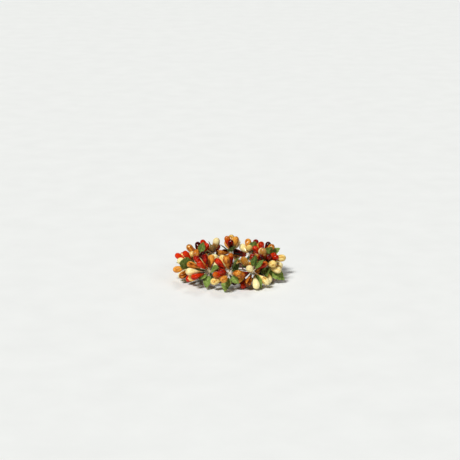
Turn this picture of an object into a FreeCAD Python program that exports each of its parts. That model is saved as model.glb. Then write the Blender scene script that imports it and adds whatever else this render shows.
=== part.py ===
"""A small table wreath: lacquered berries and cloth leaves bound on a taped wire ring.

Frame: +Z up, the ring's own axis is the Z axis, and the lowest berries touch the XY plane.
The front of the wreath is at -Y. An angle on the ring is 0 at the front and grows towards +X.
All sizes are in millimetres.
"""
import FreeCAD, Part
import math
import os
from FreeCAD import Placement, Rotation, Vector

os.makedirs("parts", exist_ok=True)

# The wire ring and its tape
ring_radius = 19.8
wire_diameter = 1.4
sleeve_wall = 0.4
sleeve_clearance = 0.05
wrap_diameter = 1.1
wrap_clearance = 0.05
wrap_turns = 24
wrap_open_turns = 0.5
seat_cut = 0.5
seat_height = 1.8

# The bunches: where each one is tied, the stem that holds it on the ring,
# and how far it reaches from its tie to the outside of the wreath
tie_outside_ring = 4.2
tie_above_seat = 9.0
tie_diameter = 2.2
bunch_stem_diameter = 2.0
bunch_stem_head_diameter = 1.4
bunch_reach = 14.15
joint_clearance = 0.05

# Berries: length with the neck, and the widest diameter
red_length = 9.6
red_diameter = 4.1
orange_length = 9.6
orange_diameter = 4.6
cream_length = 10.0
cream_diameter = 4.9
neck_diameter = 0.8
thread_diameter = 0.4

# Leaves
leaf_length = 10.0
leaf_width = 8.0
leaf_thickness = 0.3
leaf_fold_degrees = 14.0

# Room kept between the pieces, and how far they may reach inwards from the ring's own circle
inward_reach = 5.3
sprig_clearance = 0.3
floor_clearance = 0.05

# How the pieces are parted: rounds at most, rounds until near pairs are looked for again,
# and the shares of the reach that counts as near, of a push taken in one round,
# and of the clearance that may be short when they are parted
parting_rounds = 160
pairing_rounds = 20
near_share = 0.68
turn_share = 0.5
short_share = 0.33
stem_ball_count = 4
upright_share = 0.05

# How the outline of a berry swells from its neck to its widest place, where the round end begins:
# shares of that distance, and of its widest radius
berry_outline_shares = (
    (0.18, 0.29),
    (0.38, 0.54),
    (0.60, 0.83),
    (0.80, 0.98),
)

# Where a ball stands for the berry when the pieces are kept apart
berry_ball_shares = ((0.22, 0.40), (0.42, 0.73), (0.62, 0.98))

# One edge of a leaf, from its foot to its tip: shares of its length and of its half width
leaf_edge_shares = (
    (0.07, 0.52),
    (0.20, 0.80),
    (0.23, 0.72),
    (0.38, 1.00),
    (0.42, 0.88),
    (0.56, 0.92),
    (0.60, 0.76),
    (0.74, 0.64),
    (0.78, 0.48),
    (0.90, 0.26),
)
leaf_foot_share = 0.06

# Where balls stand for a leaf: shares of its length and of its half width
leaf_ball_shares = (
    (0.04, 0.0),
    (0.16, 0.0),
    (0.16, 0.55),
    (0.34, 0.0),
    (0.34, 0.45),
    (0.34, 0.88),
    (0.54, 0.0),
    (0.54, 0.45),
    (0.54, 0.82),
    (0.72, 0.0),
    (0.72, 0.50),
    (0.88, 0.0),
    (0.88, 0.20),
    (1.00, 0.0),
)
leaf_ball_radius = 0.55

# Each bunch: its angle on the ring, its berries and its leaves.
# A berry has its colour, its swing away from straight outwards, its rise above level,
# and the share of the thread length that shows between tie and neck.
# A leaf has its swing, its rise, its roll about its own thread, its thread share and its size share.
BUNCHES = {
    "front": (0, (
        ("red", -104, 36, 1.1),
        ("cream", -128, 52, 0.8),
        ("orange", -106, 70, 0.7),
        ("red", -178, 68, 0.9),
        ("red", -42, 20, 0.4),
        ("red", -66, 2, 0.6),
        ("cream", -70, -20, 1.0),
        ("orange", -22, -4, 1.1),
        ("orange", 34, 14, 0.4),
        ("cream", -170, 20, 0.4),
        ("red", -150, -8, 0.4),
    ), (
        (100, 66, 0, 0.8, 0.95),
        (-30, -48, 0, 0.7, 1.0),
        (108, 22, 30, 0.3, 0.7),
        (-120, 14, 30, 0.4, 0.85),
        (70, -34, 60, 0.4, 0.7),
    )),
    "front_right": (39, (
        ("cream", -98, 66, 0.5),
        ("cream", -100, 20, 0.4),
        ("red", -80, -3, 0.5),
        ("orange", -116, -4, 1.1),
        ("orange", -106, -30, 1.2),
        ("orange", -82, -24, 0.7),
        ("red", -70, -54, 1.0),
        ("cream", -44, -54, 0.7),
        ("cream", 24, -34, 0.8),
        ("orange", 160, 10, 0.4),
        ("red", 120, 30, 0.4),
        ("red", 88, 4, 0.4),
    ), (
        (4, -50, 70, 0.6, 1.0),
        (-60, 82, -20, 0.8, 0.8),
        (100, 18, 20, 0.4, 0.8),
        (-150, 20, 60, 0.3, 0.7),
    )),
    "right": (75, (
        ("red", -80, 31, 0.5),
        ("red", -52, 44, 0.5),
        ("cream", -61, 14, 0.5),
        ("red", -104, 12, 0.2),
        ("orange", -88, -8, 0.2),
        ("cream", -66, -34, 0.7),
        ("orange", -137, 36, 0.6),
        ("cream", -122, 52, 0.6),
        ("cream", -18, -4, 0.6),
        ("red", -34, 20, 0.5),
        ("orange", 20, 8, 0.4),
        ("red", 36, -25, 0.6),
        ("cream", 140, 24, 0.4),
    ), (
        (-20, 58, 0, 0.5, 0.9),
        (-12, -32, 50, 1.3, 1.1),
        (-74, 2, 30, 0.4, 0.9),
        (60, 10, 20, 0.5, 0.9),
        (-50, -40, 40, 0.4, 0.8),
    )),
    "back_right": (112, (
        ("cream", -20, 19, 1.5),
        ("cream", -46, 4, 1.2),
        ("red", -68, 18, 0.6),
        ("orange", -24, 48, 0.6),
        ("red", 22, 52, 0.7),
        ("red", 85, 54, 0.7),
        ("cream", -122, 48, 0.5),
        ("orange", 15, 12, 0.8),
        ("cream", 45, -12, 0.6),
        ("red", 12, -28, 0.6),
        ("orange", 70, 18, 0.5),
        ("orange", -40, -36, 0.7),
        ("red", 160, 54, 0.3),
    ), (
        (-66, 52, -50, 0.6, 1.0),
        (-4, 36, 30, 1.3, 0.9),
        (2, -14, -60, 1.2, 0.9),
        (-96, 14, 30, 0.4, 0.85),
    )),
    "back_right_inner": (146, (
        ("orange", -48, 38, 0.7),
        ("orange", 52, 34, 0.6),
        ("red", -120, 28, 0.5),
        ("orange", -146, 44, 0.4),
        ("cream", 0, 10, 0.8),
        ("red", -28, -8, 0.6),
        ("orange", 28, -24, 0.6),
        ("cream", 64, 14, 0.5),
        ("red", 6, 42, 0.7),
        ("cream", -14, -44, 0.6),
        ("red", 100, 26, 0.5),
        ("orange", -75, -10, 0.4),
    ), (
        (-80, 58, -60, 0.6, 1.0),
        (32, 0, 20, 1.2, 0.9),
        (-100, 4, 20, 0.4, 0.8),
    )),
    "back": (178, (
        ("red", 0, 14, 1.0),
        ("cream", -36, 28, 0.6),
        ("orange", 38, 24, 0.7),
        ("red", -64, 6, 0.5),
        ("cream", 70, 0, 0.5),
        ("orange", -22, -22, 0.6),
        ("red", 26, -34, 0.7),
        ("cream", -4, 56, 0.8),
        ("red", 80, 48, 0.6),
        ("orange", -92, 44, 0.5),
        ("cream", -60, -40, 0.6),
        ("red", 170, 50, 0.4),
        ("orange", 118, 20, 0.4),
    ), (
        (14, -8, 20, 1.1, 1.0),
        (-130, 40, 20, 0.5, 0.9),
        (64, 20, 0, 0.5, 0.8),
    )),
    "back_left_inner": (208, (
        ("cream", 6, 8, 0.9),
        ("red", -34, 14, 0.7),
        ("orange", 44, 16, 0.6),
        ("red", 10, 14, 0.8),
        ("cream", -60, 40, 0.6),
        ("orange", -14, -24, 0.7),
        ("red", 36, -32, 0.6),
        ("red", 78, 30, 0.5),
        ("red", -88, 6, 0.5),
        ("orange", 130, 46, 0.4),
        ("orange", -70, -26, 0.5),
        ("red", 66, -6, 0.4),
        ("cream", -150, 54, 0.3),
    ), (
        (22, -6, -20, 1.2, 1.0),
        (-20, 42, 50, 0.4, 0.85),
        (100, 10, 30, 0.4, 0.8),
    )),
    "back_left": (242, (
        ("red", -118, 32, 0.8),
        ("red", -62, 36, 0.5),
        ("orange", -38, 26, 0.6),
        ("red", -14, 12, 0.8),
        ("red", 56, 30, 0.7),
        ("orange", 78, 16, 0.5),
        ("red", 124, 20, 0.3),
        ("cream", -136, 18, 0.8),
        ("orange", 6, 34, 0.6),
        ("orange", 22, -10, 0.8),
        ("cream", -30, -12, 0.8),
        ("red", -8, -40, 0.6),
        ("cream", 40, -40, 0.6),
    ), (
        (-104, 50, 30, 1.0, 0.75),
        (156, 30, 0, 0.4, 0.9),
        (66, 2, 30, 0.5, 0.85),
    )),
    "left": (284, (
        ("red", -26, 24, 1.5),
        ("cream", 8, 28, 0.8),
        ("cream", -46, 22, 1.0),
        ("red", -4, 50, 0.6),
        ("orange", -10, -3, 1.7),
        ("orange", 20, -24, 0.9),
        ("red", 48, -34, 0.9),
        ("cream", -14, -38, 0.8),
        ("red", -62, -6, 0.7),
        ("orange", -110, 36, 0.4),
        ("cream", -150, 24, 0.3),
        ("red", 160, 56, 0.3),
    ), (
        (20, 14, 80, 0.5, 1.25),
        (84, -32, 0, 0.7, 0.95),
        (-34, 4, 30, 1.2, 0.85),
        (-88, 10, 30, 0.4, 0.85),
        (66, -2, 20, 0.5, 0.85),
        (-60, -34, 60, 0.4, 0.8),
    )),
    "front_left": (326, (
        ("red", -64, 72, 0.6),
        ("red", -34, 44, 0.7),
        ("red", -66, 40, 1.2),
        ("cream", -86, 34, 1.0),
        ("orange", -64, 22, 1.7),
        ("cream", -46, 4, 1.6),
        ("red", -28, -10, 1.0),
        ("orange", -56, -20, 1.4),
        ("orange", -156, 50, 0.5),
        ("orange", -120, 14, 0.4),
        ("cream", 150, 24, 0.4),
        ("red", 176, 6, 0.4),
    ), (
        (18, -48, 10, 0.6, 0.85),
        (98, 28, 50, 0.3, 0.85),
        (-34, -36, -30, 0.5, 0.65),
        (-96, 4, 30, 0.4, 0.85),
    )),
}

berry_sizes = {
    "red": (red_length, red_diameter / 2),
    "orange": (orange_length, orange_diameter / 2),
    "cream": (cream_length, cream_diameter / 2),
}

# Sizes that follow from the ones above
wire_radius = wire_diameter / 2
sleeve_bore = wire_radius + sleeve_clearance
sleeve_radius = sleeve_bore + sleeve_wall
wrap_line_radius = sleeve_radius + wrap_clearance + wrap_diameter / 2
wrapped_radius = wrap_line_radius + wrap_diameter / 2
ring_height = seat_height + wrapped_radius - seat_cut
tie_radius_on_ring = ring_radius + tie_outside_ring
tie_height = seat_height + tie_above_seat
tie_radius = tie_diameter / 2
neck_radius = neck_diameter / 2
thread_radius = thread_diameter / 2
sprig_start = tie_radius + joint_clearance
thread_length = bunch_reach - sprig_start - cream_length
leaf_thread_length = bunch_reach - sprig_start - leaf_length
outside_radius = tie_radius_on_ring + bunch_reach
clear_middle_radius = ring_radius - inward_reach
seat_room_radius = ring_radius + wrapped_radius + sprig_clearance


def ring_point(angle, radius, height):
    """A point at an angle on the ring, at a radius from its axis."""
    return Vector(radius * math.sin(angle), -radius * math.cos(angle), height)


def direction(angle, rise):
    """The unit vector that heads towards a ring angle and rises above level."""
    return ring_point(angle, math.cos(rise), math.sin(rise))


class Sprig:
    """A berry or a leaf on its thread, as a row of balls that keep clear of the others."""

    def __init__(self, bunch, kind, ring_angle, swing, rise, thread, roll, size):
        self.bunch = bunch
        self.kind = kind
        self.tie = ring_point(ring_angle, tie_radius_on_ring, tie_height)
        self.aim = direction(ring_angle + math.radians(swing), math.radians(rise))
        self.roll = math.radians(roll)
        self.size = size
        self.start = sprig_start + thread
        if kind == "leaf":
            self.length = leaf_length * size
            half_width = leaf_width * size / 2
            rows = [(self.start + self.length * along, half_width * across * side, leaf_ball_radius)
                    for along, across in leaf_ball_shares for side in (1, -1) if across or side > 0]
        else:
            self.length, widest = berry_sizes[kind]
            rows = [(self.start + self.length * along, 0.0, widest * share)
                    for along, share in berry_ball_shares]
            rows.append((self.start + self.length - widest, 0.0, widest))
            rows.append((self.start, 0.0, neck_radius))
        thread_balls = 1 + int(thread / tie_diameter)
        for number in range(thread_balls):
            along = sprig_start + (number + 1) * thread / (thread_balls + 1)
            rows.append((along, 0.0, thread_radius))
        self.rows = rows
        self.middle = (sprig_start + self.start + self.length) / 2
        self.place_balls()

    def face(self):
        """The unit vector that a leaf's upper side looks along."""
        up = Vector(0, 0, 1)
        level = up - self.aim * up.dot(self.aim)
        if level.Length < upright_share:
            level = Vector(self.tie.x, self.tie.y, 0) * -1
        level.normalize()
        return Rotation(self.aim, math.degrees(self.roll)).multVec(level)

    def place_balls(self):
        """Put the balls where the sprig now points."""
        face = self.face() if self.kind == "leaf" else Vector()
        across = face.cross(self.aim)
        fold = math.radians(leaf_fold_degrees)
        self.balls = []
        for along, aside, radius in self.rows:
            spot = self.tie + self.aim * along
            spot += across * (aside * math.cos(fold)) + face * (abs(aside) * math.sin(fold))
            self.balls.append((spot.x, spot.y, spot.z, radius, along))
        self.centre = self.tie + self.aim * self.middle

    def turn(self, push):
        """Turn the sprig about its tie by a push on it, given per length of its lever."""
        aim = self.aim + push - self.aim * push.dot(self.aim)
        aim.normalize()
        self.aim = aim
        self.place_balls()


def all_sprigs():
    """Every berry and leaf, pointing as its bunch says."""
    sprigs = []
    for bunch, (angle, berries, leaves) in BUNCHES.items():
        angle = math.radians(angle)
        for colour, swing, rise, thread_share in berries:
            sprigs.append(Sprig(bunch, colour, angle, swing, rise, thread_length * thread_share, 0, 1))
        for swing, rise, roll, thread_share, size_share in leaves:
            thread = leaf_thread_length * thread_share
            sprigs.append(Sprig(bunch, "leaf", angle, swing, rise, thread, roll, size_share))
    return sprigs


def wrap_angle(phase, turn):
    """The ring angle where a turn of the wrap crosses a phase round the wire, both in turns."""
    return 2 * math.pi * (phase + turn) / (wrap_turns + wrap_open_turns)


def bunch_stem_line(ring_angle):
    """The foot and the head of a bunch's stem, set between two turns of the wrap."""
    tie = ring_point(ring_angle, tie_radius_on_ring, tie_height)
    lean = math.atan2(tie_height - ring_height, tie_outside_ring) / (2 * math.pi)
    turn_here = ring_angle / wrap_angle(0, 1) - (lean - 0.25) - 0.5
    foot_angle = wrap_angle(lean - 0.25 + 0.5, round(turn_here))
    centre = ring_point(foot_angle, ring_radius, ring_height)
    along = tie - centre
    along.normalize()
    slant = along.dot(Vector(math.cos(foot_angle), math.sin(foot_angle), 0))
    square = math.sqrt(1 - slant * slant)
    standoff = sleeve_radius + joint_clearance + abs(slant) * bunch_stem_diameter / 2
    return centre + along * (standoff / square), tie - along * sprig_start


def fixed_balls():
    """Balls for the ties and the bunch stems, each with its bunch."""
    balls = []
    for bunch, (angle, _, _) in BUNCHES.items():
        foot, head = bunch_stem_line(math.radians(angle))
        for number in range(stem_ball_count + 1):
            share = number / stem_ball_count
            spot = foot + (head - foot) * share
            width = bunch_stem_diameter + (bunch_stem_head_diameter - bunch_stem_diameter) * share
            balls.append((spot.x, spot.y, spot.z, width / 2, bunch, number == stem_ball_count))
        tie = ring_point(math.radians(angle), tie_radius_on_ring, tie_height)
        balls.append((tie.x, tie.y, tie.z, tie_radius, bunch, True))
    return balls


def wall_push(ball, half_clearance):
    """How a ball is pushed off the ring, its clear middle, its seat and the outside."""
    x, y, z, radius, _ = ball
    out = math.hypot(x, y)
    push_out = 0.0
    push_up = 0.0
    across = out - ring_radius
    above = z - ring_height
    apart = math.hypot(across, above)
    short = wrapped_radius + radius + 2 * half_clearance - apart
    if short > 0:
        push_out += short * across / apart
        push_up += short * above / apart
    push_out += max(0.0, clear_middle_radius + radius - out)
    push_out -= max(0.0, out + radius - outside_radius)
    above_seat = out < seat_room_radius + radius
    lowest = (seat_height if above_seat else 0.0) + floor_clearance + radius
    push_up += max(0.0, lowest - z)
    return Vector(x / out * push_out, y / out * push_out, push_up)


def shortfall(a, b, clearance):
    """The push that parts two balls, or nothing if they are clear."""
    dx = a[0] - b[0]
    dy = a[1] - b[1]
    dz = a[2] - b[2]
    need = a[3] + b[3] + clearance
    square = dx * dx + dy * dy + dz * dz
    if square >= need * need:
        return None
    apart = math.sqrt(square)
    share = (need - apart) / apart
    return Vector(dx * share, dy * share, dz * share)


def part_sprigs(sprigs):
    """Turn the sprigs about their ties, a little each round, until they are clear."""
    obstacles = fixed_balls()
    reach = 2 * max(sprig.length for sprig in sprigs)
    near = []
    for number in range(parting_rounds):
        if number % pairing_rounds == 0:
            near = [(one, two) for index, one in enumerate(sprigs) for two in sprigs[index + 1:]
                    if (one.centre - two.centre).Length < reach * near_share]
        pushes = {sprig: Vector() for sprig in sprigs}
        worst = 0.0
        for one, two in near:
            for a in one.balls:
                for b in two.balls:
                    push = shortfall(a, b, sprig_clearance)
                    if push:
                        worst = max(worst, push.Length)
                        pushes[one] += push * (1 / (2 * a[4]))
                        pushes[two] -= push * (1 / (2 * b[4]))
        for sprig in sprigs:
            for ball in sprig.balls:
                push = wall_push(ball, sprig_clearance / 2)
                for other in obstacles:
                    if other[4] == sprig.bunch and other[5]:
                        continue
                    extra = shortfall(ball, other, sprig_clearance)
                    if extra:
                        push += extra
                worst = max(worst, push.Length)
                pushes[sprig] += push * (1 / ball[4])
            if pushes[sprig].Length > 0:
                sprig.turn(pushes[sprig] * turn_share)
        if worst < sprig_clearance * short_share:
            break
    print("sprigs parted in", number + 1, "rounds, largest shortfall of clearance", round(worst, 3))


def berry_solid(colour):
    """One berry on the Z axis, its neck at the origin and its round end up."""
    length, widest = berry_sizes[colour]
    widest_height = length - widest
    neck = Vector(neck_radius, 0, 0)
    shoulder = Vector(widest, 0, widest_height)
    tip = Vector(0, 0, length)
    points = [neck]
    for along, share in berry_outline_shares:
        points.append(Vector(widest * share, 0, widest_height * along))
    points.append(shoulder)
    curve = Part.BSplineCurve()
    curve.interpolate(points, InitialTangent=Vector(0, 0, 1), FinalTangent=Vector(0, 0, 1))
    slant = widest * math.sqrt(0.5)
    crown = Part.Arc(shoulder, Vector(slant, 0, widest_height + slant), tip)
    edges = [Part.makeLine(Vector(), neck), curve.toShape(), crown.toShape(), Part.makeLine(tip, Vector())]
    return Part.Face(Part.Wire(edges)).revolve(Vector(), Vector(0, 0, 1), 360)


def leaf_half(length, half_width, side):
    """Half a leaf blade in the XY plane, its foot at the origin and its tip along +X."""
    points = [Vector()]
    points.append(Vector(0, side * half_width * leaf_foot_share, 0))
    for along, share in leaf_edge_shares:
        points.append(Vector(length * along, side * half_width * share, 0))
    points.append(Vector(length, 0, 0))
    points.append(Vector())
    blade = Part.Face(Part.makePolygon(points))
    half = blade.extrude(Vector(0, 0, leaf_thickness))
    half.rotate(Vector(), Vector(1, 0, 0), side * leaf_fold_degrees)
    return half


def leaf_solid(size):
    """One leaf blade, folded a little along its middle."""
    length = leaf_length * size
    half_width = leaf_width * size / 2
    halves = [leaf_half(length, half_width, side) for side in (1, -1)]
    return halves[0].fuse(halves[1]).removeSplitter()


def place(shape, origin, x_axis, z_axis):
    """A copy of a shape moved to an origin, with its own X and Z axes turned to these."""
    y_axis = z_axis.cross(x_axis)
    moved = shape.copy()
    moved.Placement = Placement(origin, Rotation(x_axis, y_axis, z_axis, "XYZ"))
    return moved


def any_square_to(axis):
    """A unit vector square to an axis."""
    helper = Vector(1, 0, 0) if abs(axis.x) < abs(axis.y) else Vector(0, 1, 0)
    square = helper - axis * helper.dot(axis)
    square.normalize()
    return square


def rod(start, end, diameter):
    """A round rod between two points."""
    along = end - start
    return Part.makeCylinder(diameter / 2, along.Length, start, along)


def tapered_rod(start, end, start_diameter, end_diameter):
    """A round rod between two points that is thicker at its start."""
    along = end - start
    return Part.makeCone(start_diameter / 2, end_diameter / 2, along.Length, start, along)


def arc_through(start, corner, end):
    """The arc from start to end that is tangent to both legs at the corner."""
    chord = (start + end) * 0.5
    lift = corner - chord
    half = (end - start).Length / 2
    turn = 2 * math.atan2(lift.Length, half)
    middle = chord + lift * (half * math.tan(turn / 4) / lift.Length)
    return Part.Arc(start, middle, end).toShape()


def biarc(start, start_way, end, end_way):
    """Two arcs from start to end that leave and arrive along the given unit vectors."""
    span = end - start
    ways = start_way + end_way
    bend = 2 * (1 - start_way.dot(end_way))
    root = math.sqrt(span.dot(ways) ** 2 + bend * span.dot(span))
    leg = (root - span.dot(ways)) / bend
    first = start + start_way * leg
    last = end - end_way * leg
    joint = (first + last) * 0.5
    return [arc_through(start, first, joint), arc_through(joint, last, end)]


def wrap_point(turns):
    """A point on the wrap's centre line and its way on, after some turns from the start."""
    angle = wrap_angle(0, turns)
    phase = math.pi / 2 + 2 * math.pi * turns
    radius = ring_radius + wrap_line_radius * math.cos(phase)
    spot = ring_point(angle, radius, ring_height + wrap_line_radius * math.sin(phase))
    outwards = ring_point(angle, 1, 0)
    onwards = Vector(math.cos(angle), math.sin(angle), 0)
    around = outwards * -math.sin(phase) + Vector(0, 0, 1) * math.cos(phase)
    way = around * wrap_line_radius * 2 * math.pi + onwards * radius * wrap_angle(0, 1)
    way.normalize()
    return spot, way


def make_core_wire():
    """The bent and butted steel wire that carries the wreath."""
    return Part.makeTorus(ring_radius, wire_radius, Vector(0, 0, ring_height))


def make_tape_sleeve():
    """The under layer of tape, a hollow sleeve round the wire."""
    centre = Vector(0, 0, ring_height)
    outer = Part.makeTorus(ring_radius, sleeve_radius, centre)
    return outer.cut(Part.makeTorus(ring_radius, sleeve_bore, centre))


def make_tape_wrap():
    """The rolled tape wound round the sleeve, cut flat below, where the ring is seated."""
    quarters = 4
    stations = [wrap_point(number / quarters) for number in range(wrap_turns * quarters + 1)]
    start, start_way = stations[0]
    end, end_way = stations[-1]
    edges = [Part.makeLine(start - start_way * wrap_diameter, start)]
    for (spot, way), (next_spot, next_way) in zip(stations, stations[1:]):
        edges += biarc(spot, way, next_spot, next_way)
    edges.append(Part.makeLine(end, end + end_way * wrap_diameter))
    section = Part.Circle(start - start_way * wrap_diameter, start_way, wrap_diameter / 2)
    pipe = Part.BRepOffsetAPI.MakePipeShell(Part.Wire(edges))
    pipe.add(Part.Wire(section.toShape()))
    pipe.build()
    pipe.makeSolid()
    tube = pipe.shape()
    below = ring_radius + 2 * wrapped_radius
    slab = Part.makeBox(2 * below, 2 * below, below, Vector(-below, -below, seat_height - below))
    return tube.cut(slab)


def least_wrap_gap():
    """The least clear distance from the wrap to itself, measured on points of its centre line."""
    steps = 24
    line = [wrap_point(number / steps)[0] for number in range(wrap_turns * steps + 1)]
    apart = min((line[one] - line[two]).Length
                for one in range(0, len(line), steps // 2)
                for two in range(len(line))
                if abs(one - two) > steps // 2)
    return apart - wrap_diameter


def write(name, solids):
    """Write the solids of one node."""
    shape = solids[0] if len(solids) == 1 else Part.makeCompound(solids)
    shape.exportStep("parts/" + name + ".step")


def make_ring():
    """The wire ring and the two layers of tape on it."""
    write("core_wire", [make_core_wire()])
    write("tape_sleeve", [make_tape_sleeve()])
    write("tape_wrap", [make_tape_wrap()])
    print("least gap of the wrap to itself", round(least_wrap_gap(), 2))


def make_bunch_stems():
    """The taped stem of each bunch, from the ring up to the tie, and the bound thread of the tie."""
    stems = []
    ties = []
    for angle, _, _ in BUNCHES.values():
        angle = math.radians(angle)
        foot, head = bunch_stem_line(angle)
        stems.append(tapered_rod(foot, head, bunch_stem_diameter, bunch_stem_head_diameter))
        ties.append(Part.makeSphere(tie_radius, ring_point(angle, tie_radius_on_ring, tie_height)))
    write("bunch_stems", stems)
    write("bunch_ties", ties)


def make_bunch(bunch, sprigs):
    """The berries and leaves of one bunch, and the thread each one hangs on."""
    berries = {colour: [] for colour in berry_sizes}
    leaves = []
    threads = []
    for sprig in sprigs:
        foot = sprig.tie + sprig.aim * (sprig.start + joint_clearance)
        if sprig.kind == "leaf":
            leaves.append(place(leaf_solid(sprig.size), foot, sprig.aim, sprig.face()))
        else:
            turned = any_square_to(sprig.aim)
            berries[sprig.kind].append(place(UNIT_BERRIES[sprig.kind], foot, turned, sprig.aim))
        start = sprig.tie + sprig.aim * sprig_start
        threads.append(rod(start, sprig.tie + sprig.aim * sprig.start, thread_diameter))
    for colour, solids in berries.items():
        write(bunch + "_" + colour + "_berries", solids)
    write(bunch + "_leaves", leaves)
    write(bunch + "_threads", threads)


UNIT_BERRIES = {colour: berry_solid(colour) for colour in berry_sizes}
make_ring()
make_bunch_stems()
SPRIGS = all_sprigs()
part_sprigs(SPRIGS)
for bunch_name in BUNCHES:
    make_bunch(bunch_name, [sprig for sprig in SPRIGS if sprig.bunch == bunch_name])
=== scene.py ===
"""Dresses a small wreath: lacquered berries and cloth leaves bound on a taped wire ring.

The pieces stand where the CAD frame has them. Each berry, leaf, thread, tie and stem is found
among the frame's solids, and a detailed one is modelled once and set in its place.
"""
import math
import random
from collections import namedtuple
from contextlib import contextmanager
from itertools import product

import bmesh
import bpy
from bpy.props import FloatProperty, FloatVectorProperty, IntProperty, PointerProperty
from bpy.types import Operator, Panel, PropertyGroup
from mathutils import Matrix, Vector


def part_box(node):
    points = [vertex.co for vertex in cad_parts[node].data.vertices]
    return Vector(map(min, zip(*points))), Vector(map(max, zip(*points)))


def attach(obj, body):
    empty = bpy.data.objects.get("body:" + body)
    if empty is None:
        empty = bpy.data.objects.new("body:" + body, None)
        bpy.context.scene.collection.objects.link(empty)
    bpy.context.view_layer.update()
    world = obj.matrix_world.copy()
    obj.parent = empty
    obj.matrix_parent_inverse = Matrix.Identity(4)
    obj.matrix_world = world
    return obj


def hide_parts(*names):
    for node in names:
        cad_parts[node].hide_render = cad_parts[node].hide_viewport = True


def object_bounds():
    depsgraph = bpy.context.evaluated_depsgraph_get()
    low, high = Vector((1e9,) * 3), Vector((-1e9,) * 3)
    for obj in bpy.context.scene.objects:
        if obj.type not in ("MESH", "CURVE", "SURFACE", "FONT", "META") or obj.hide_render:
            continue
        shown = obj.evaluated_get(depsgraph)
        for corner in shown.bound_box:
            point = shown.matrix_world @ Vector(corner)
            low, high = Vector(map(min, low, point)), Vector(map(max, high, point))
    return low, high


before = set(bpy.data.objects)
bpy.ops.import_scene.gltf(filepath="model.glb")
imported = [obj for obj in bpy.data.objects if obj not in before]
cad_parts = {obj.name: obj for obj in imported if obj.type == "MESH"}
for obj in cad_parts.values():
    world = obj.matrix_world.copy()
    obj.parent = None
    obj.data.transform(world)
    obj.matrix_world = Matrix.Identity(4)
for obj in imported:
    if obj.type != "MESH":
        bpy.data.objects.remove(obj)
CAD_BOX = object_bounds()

bl_info = {
    "name": "Berry wreath",
    "version": (1, 0, 0),
    "blender": (4, 5, 0),
    "location": "View3D > Sidebar > Wreath",
    "description": "Models the berries, leaves, threads and taped ring of a small wreath",
    "category": "Add Mesh",
}

MM = 0.001
TURN = 2 * math.pi
WELD = MM / 1000
END_SLICE = 0.1 * MM
SHARP_EDGE = math.radians(60)
BODY = "root"
BUNCHES = [node[:-len("_leaves")] for node in sorted(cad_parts) if node.endswith("_leaves")]
WIRE_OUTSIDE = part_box("core_wire")[1].x

# Shares that shape the pieces

# A berry from its neck to its widest place, where its round end begins: shares of that distance
# and of its widest radius, and the angles of the rings on the round end
PIP_OUTLINE = (
    (0.0, 0.15), (0.02, 0.21), (0.07, 0.21), (0.18, 0.29), (0.38, 0.54), (0.60, 0.83),
    (0.80, 0.98), (1.0, 1.0))
PIP_CROWN_DEGREES = (22.0, 44.0, 64.0, 80.0)

# The dent of each form of a berry: its place round and along it, and the share of the full depth.
# It is picked and spreads within shares of the radius.
Dent = namedtuple("Dent", "round along depth")
PIP_DENTS = (Dent(0.0, 0.72, 0.6), Dent(0.38, 0.82, 0.9), Dent(0.76, 0.92, 1.2))
DENT_PICKED = 0.62
DENT_SPREAD = 1.3

# A leaf's edge from foot to tip: shares of its length and of its half width
LEAF_EDGE = (
    (0.0, 0.06), (0.07, 0.52), (0.20, 0.82), (0.235, 0.70), (0.38, 1.00), (0.42, 0.86),
    (0.56, 0.92), (0.60, 0.74), (0.74, 0.64), (0.78, 0.46), (0.90, 0.27), (0.93, 0.17),
    (1.0, 0.0))
LEAF_TIP_WIDTH = 0.004

# How much each form of a leaf bows: half its slope at the foot
LEAF_BOWS = (0.05, 0.11, -0.04)

# A leaf's veins: the slant of the side veins in lengths, the midrib and the strip beside it in
# half widths, a vein and the swell between two in steps from vein to vein. Veins sink and cloth
# swells by shares of the groove.
VEIN_SLANT = 0.32
MIDRIB_WIDTH = 0.03
MIDRIB_STRIP = 0.12
VEIN_WIDTH = 0.16
SWELL_MIDDLE = 0.55
SWELL_REACH = 0.2
VEIN_SINKS = 0.6
CLOTH_SWELLS = 0.5

# Where a berry and a leaf are measured for how far out they are, and the share of their tone that
# comes from that: painted shade, which makes those nearer the ring's wire darker
PIP_MEASURED = 0.7
LEAF_MEASURED = 0.5
PIP_PAINTED_SHADE = 0.4
LEAF_PAINTED_SHADE = 0.7

# A thread from tie to berry: shares of its length and of its radius
THREAD_OUTLINE = ((0.0, 1.1), (0.2, 0.9), (0.5, 1.0), (0.8, 1.0), (0.95, 1.5), (1.0, 1.6))
THREAD_MIDDLE = 0.5
THREAD_PICKED = 0.1
THREAD_SPREAD = 0.45
THREAD_BOWS = (0.10 * MM, 0.22 * MM)
THREAD_START = 0.7

# A tie as heights and widths in its radius: its two ends, the reach of its windings, how much
# they narrow towards it, the groove before each one, and how far up its crest stands
TIE_WINDINGS = 7
TIE_FOOT = (-0.95, 0.45)
TIE_HEAD = (0.95, 0.5)
TIE_REACH = 0.86
TIE_NARROWS = 0.8
TIE_GROOVE = 0.86
TIE_CREST = 0.99
TIE_CREST_STEP = 0.12

# A stem's rings, and how much slimmer it is than the CAD's, so that its lap stays within
STEM_STEPS = 22
STEM_SLIMMER = 0.94

# The sleeve's segments in one lap, and the share of them that stands up
LAP_SEGMENTS = 5
LAP_RAISED = 0.42

# The wrap: steps in a turn, where round the ring's section it begins, how much slimmer its tape
# is than the CAD's, how flat, and how far it twists at each step
WRAP_STEPS = 16
WRAP_START = 0.25
WRAP_SLIMMER = 0.93
WRAP_FLATNESS = 0.86
WRAP_TWIST = 0.55
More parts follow.
